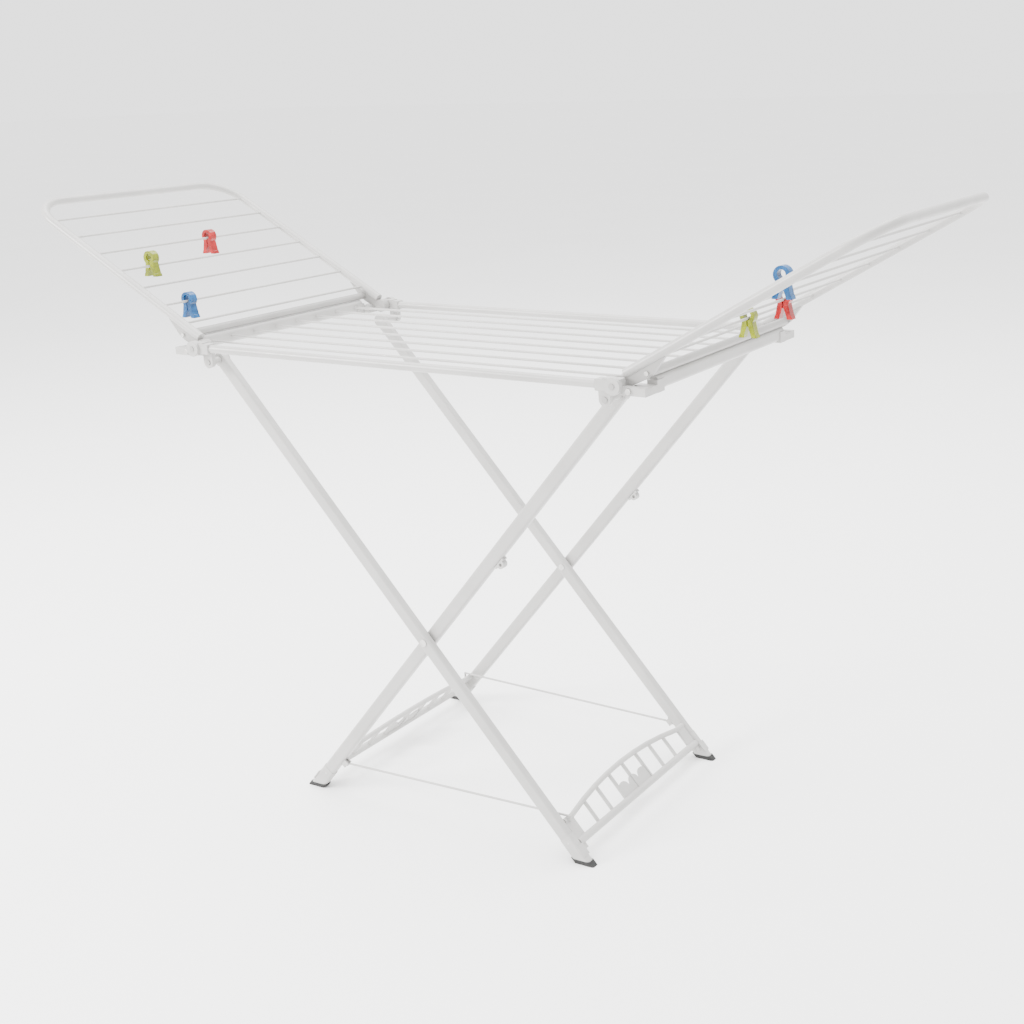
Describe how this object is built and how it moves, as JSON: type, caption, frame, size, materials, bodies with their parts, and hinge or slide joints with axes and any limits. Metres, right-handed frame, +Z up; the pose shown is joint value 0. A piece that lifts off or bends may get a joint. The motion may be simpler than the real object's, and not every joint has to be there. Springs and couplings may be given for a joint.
{
  "type": "clothes airer",
  "caption": "Freestanding winged clothes airer: crossed folding legs, a centre frame of rods, two raised folding wings, and sliding pegs on the wing rods.",
  "frame": {"origin": "on the floor, under the middle of the rack", "axes": "+X from the left wing to the right wing, +Y from front to back, +Z up"},
  "size_m": [1.7808, 0.5468, 1.1291],
  "materials": {
    "coated_steel": "smooth slightly warm white powder coat",
    "moulding": "satin white moulded plastic",
    "bracket": "white powder coat, a shade greyer",
    "hardware": "zinc plated rivets and bolts",
    "sole": "black moulded rubber",
    "lime_peg": "translucent lime plastic",
    "red_peg": "translucent red plastic",
    "blue_peg": "translucent blue plastic"
  },
  "bodies": {
    "left_wing": {"bracket_bolts_left": "hardware", "stop_bar_left": "bracket", "wing_brackets_left": "bracket", "wing_rods_left": "coated_steel", "wing_tube_left": "coated_steel"},
    "right_wing": {"bracket_bolts_right": "hardware", "stop_bar_right": "bracket", "wing_brackets_right": "bracket", "wing_rods_right": "coated_steel", "wing_tube_right": "coated_steel"},
    "centre_top": {"corner_bolts": "hardware", "corner_front_left": "moulding", "corner_front_right": "moulding", "corner_rear_left": "moulding", "corner_rear_right": "moulding", "cross_member_left": "coated_steel", "cross_member_right": "coated_steel", "hinge_pins": "bracket", "leg_pivot_pins": "bracket", "top_rods": "coated_steel", "top_tube_front": "coated_steel", "top_tube_rear": "coated_steel"},
    "frame_a": {"crossing_rivets": "hardware", "ladder_a": "moulding", "leg_a_front": "coated_steel", "leg_a_rear": "coated_steel", "rear_stay_lug": "moulding", "shoe_a_front": "moulding", "shoe_a_rear": "moulding", "shoe_pins_a": "hardware", "sole_a_front": "sole", "sole_a_rear": "sole"},
    "front_stay": {"front_stay": "coated_steel", "front_stay_hook": "coated_steel"},
    "frame_b": {"front_stay_lug": "moulding", "ladder_b": "moulding", "leg_b_front": "coated_steel", "leg_b_rear": "coated_steel", "leg_clips": "moulding", "shoe_b_front": "moulding", "shoe_b_rear": "moulding", "shoe_pins_b": "hardware", "sole_b_front": "sole", "sole_b_rear": "sole"},
    "peg_blue_left": {"peg_blue_left": "blue_peg"},
    "peg_blue_right": {"peg_blue_right": "blue_peg"},
    "peg_lime_left": {"peg_lime_left": "lime_peg"},
    "peg_lime_right": {"peg_lime_right": "lime_peg"},
    "peg_red_left": {"peg_red_left": "red_peg"},
    "peg_red_right": {"peg_red_right": "red_peg"},
    "rear_stay": {"rear_stay": "coated_steel", "rear_stay_hook": "coated_steel"}
  },
  "joints": [
    {"name": "leg_fold", "type": "hinge", "parent": "frame_a", "child": "frame_b", "pos_m": [0, 0, 0.36023], "axis": [0, -1, 0], "range_deg": [0, 80.5]},
    {"name": "top_fold", "type": "hinge", "parent": "frame_a", "child": "centre_top", "pos_m": [-0.4275, 0, 0.84451], "axis": [0, 1, 0], "range_deg": [0, 46.5]},
    {"name": "front_stay_swing", "type": "hinge", "parent": "frame_b", "child": "front_stay", "pos_m": [-0.23833, -0.209, 0.06306], "axis": [0, -1, 0], "range_deg": [0, 47]},
    {"name": "rear_stay_swing", "type": "hinge", "parent": "frame_a", "child": "rear_stay", "pos_m": [0.23833, 0.209, 0.06306], "axis": [0, 1, 0], "range_deg": [0, 47]},
    {"name": "left_wing_fold", "type": "hinge", "parent": "centre_top", "child": "left_wing", "pos_m": [-0.45, 0, 0.87], "axis": [0, 1, 0], "range_deg": [0, 123]},
    {"name": "right_wing_fold", "type": "hinge", "parent": "centre_top", "child": "right_wing", "pos_m": [0.45, 0, 0.87], "axis": [0, -1, 0], "range_deg": [0, 131]},
    {"name": "peg_lime_left_slide", "type": "slide", "parent": "left_wing", "child": "peg_lime_left", "axis": [0, 1, 0], "range_m": [-0.067, 0.383]},
    {"name": "peg_red_left_slide", "type": "slide", "parent": "left_wing", "child": "peg_red_left", "axis": [0, 1, 0], "range_m": [-0.263, 0.187]},
    {"name": "peg_blue_left_slide", "type": "slide", "parent": "left_wing", "child": "peg_blue_left", "axis": [0, 1, 0], "range_m": [-0.051, 0.399]},
    {"name": "peg_blue_right_slide", "type": "slide", "parent": "right_wing", "child": "peg_blue_right", "axis": [0, 1, 0], "range_m": [-0.009, 0.441]},
    {"name": "peg_red_right_slide", "type": "slide", "parent": "right_wing", "child": "peg_red_right", "axis": [0, 1, 0], "range_m": [-0.235, 0.215]},
    {"name": "peg_lime_right_slide", "type": "slide", "parent": "right_wing", "child": "peg_lime_right", "axis": [0, 1, 0], "range_m": [-0.213, 0.237]}
  ],
  "couplings": [
    {"joint": "top_fold", "follows": "leg_fold", "ratio": 0.57764},
    {"joint": "front_stay_swing", "follows": "leg_fold", "ratio": 0.58385},
    {"joint": "rear_stay_swing", "follows": "leg_fold", "ratio": 0.58385}
  ]
}
